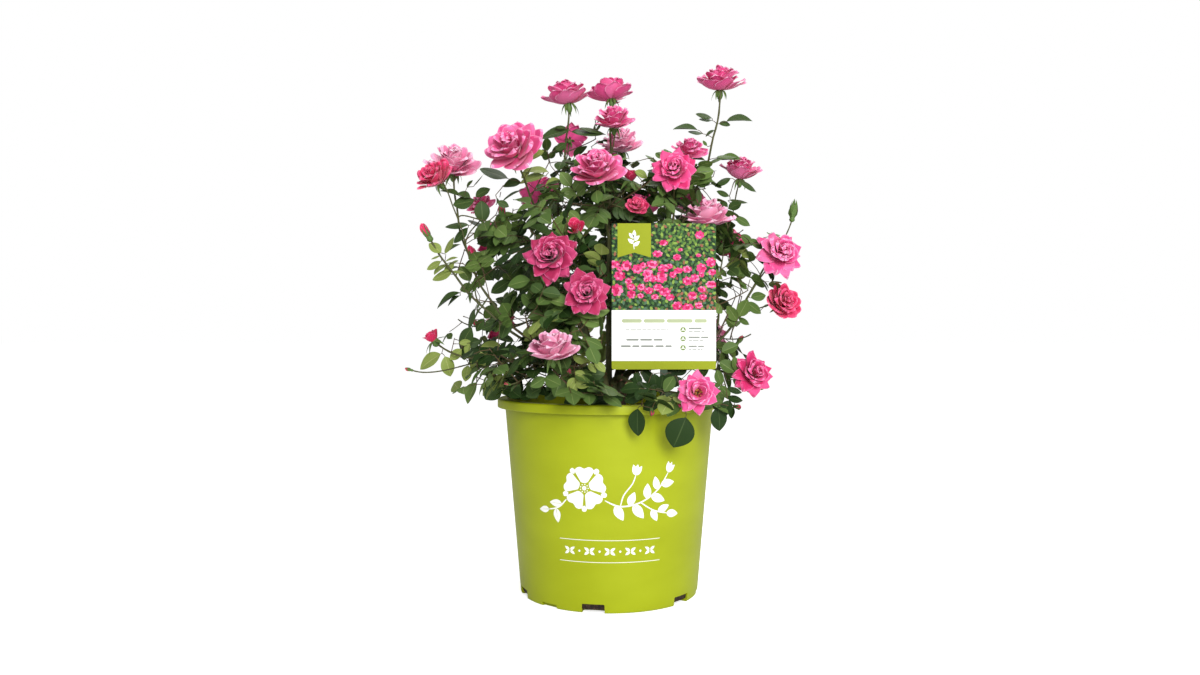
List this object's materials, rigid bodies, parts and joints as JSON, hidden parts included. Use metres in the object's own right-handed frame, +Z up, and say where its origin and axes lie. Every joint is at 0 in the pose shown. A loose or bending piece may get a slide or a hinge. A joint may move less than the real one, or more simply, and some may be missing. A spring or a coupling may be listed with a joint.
{
  "type": "potted rose bush",
  "caption": "Many-stemmed shrub rose with double pink flowers and dark green leaves, in a tapered round nursery pot, with a plain picture label on a thin stake.",
  "frame": {"origin": "the middle of the pot's flat underside, on the floor", "axes": "+Z up through the pot to the top of the bush; -Y to the front, where the label faces; +X to the right, seen from the front"},
  "size_m": [0.4949, 0.4142, 0.669],
  "materials": {
    "pot": "satin lime green",
    "potting_mix": "rough moist bark mix",
    "cane_bark": "smooth green-brown bark",
    "foliage": "semi-matt leaves and petals",
    "petals": "soft pink petals",
    "label_print": "printed, satin",
    "stake_plastic": "satin"
  },
  "bodies": {
    "root": {"pot": "pot", "potting_mix": "potting_mix", "stump": "cane_bark", "label_card": "label_print", "label_stake": "stake_plastic", "cane_left": "cane_bark", "cane_left_low": "cane_bark", "cane_front": "cane_bark", "cane_front_right": "cane_bark", "cane_right_low": "cane_bark", "cane_right": "cane_bark", "cane_tall": "cane_bark", "cane_back_right": "cane_bark", "cane_back": "cane_bark", "cane_back_left": "cane_bark", "cane_upper_left": "cane_bark", "cane_centre": "cane_bark", "shoot_left_high": "foliage", "shoot_left_mid": "foliage", "shoot_left_low": "foliage", "shoot_front_left": "foliage", "shoot_skirt_front": "foliage", "shoot_front_mid": "foliage", "shoot_front_right": "foliage", "shoot_right_low": "foliage", "shoot_behind_label": "foliage", "shoot_right_mid": "foliage", "shoot_right_shoulder": "foliage", "shoot_tall": "foliage", "shoot_upper_right": "foliage", "shoot_back_right_high": "foliage", "shoot_back_right_low": "foliage", "shoot_back_high": "foliage", "shoot_back_mid": "foliage", "shoot_back_left_high": "foliage", "shoot_back_left_low": "foliage", "shoot_upper_left": "foliage", "shoot_top_left": "foliage", "shoot_top_centre": "foliage", "shoot_centre_high": "foliage"}
  },
  "joints": []
}
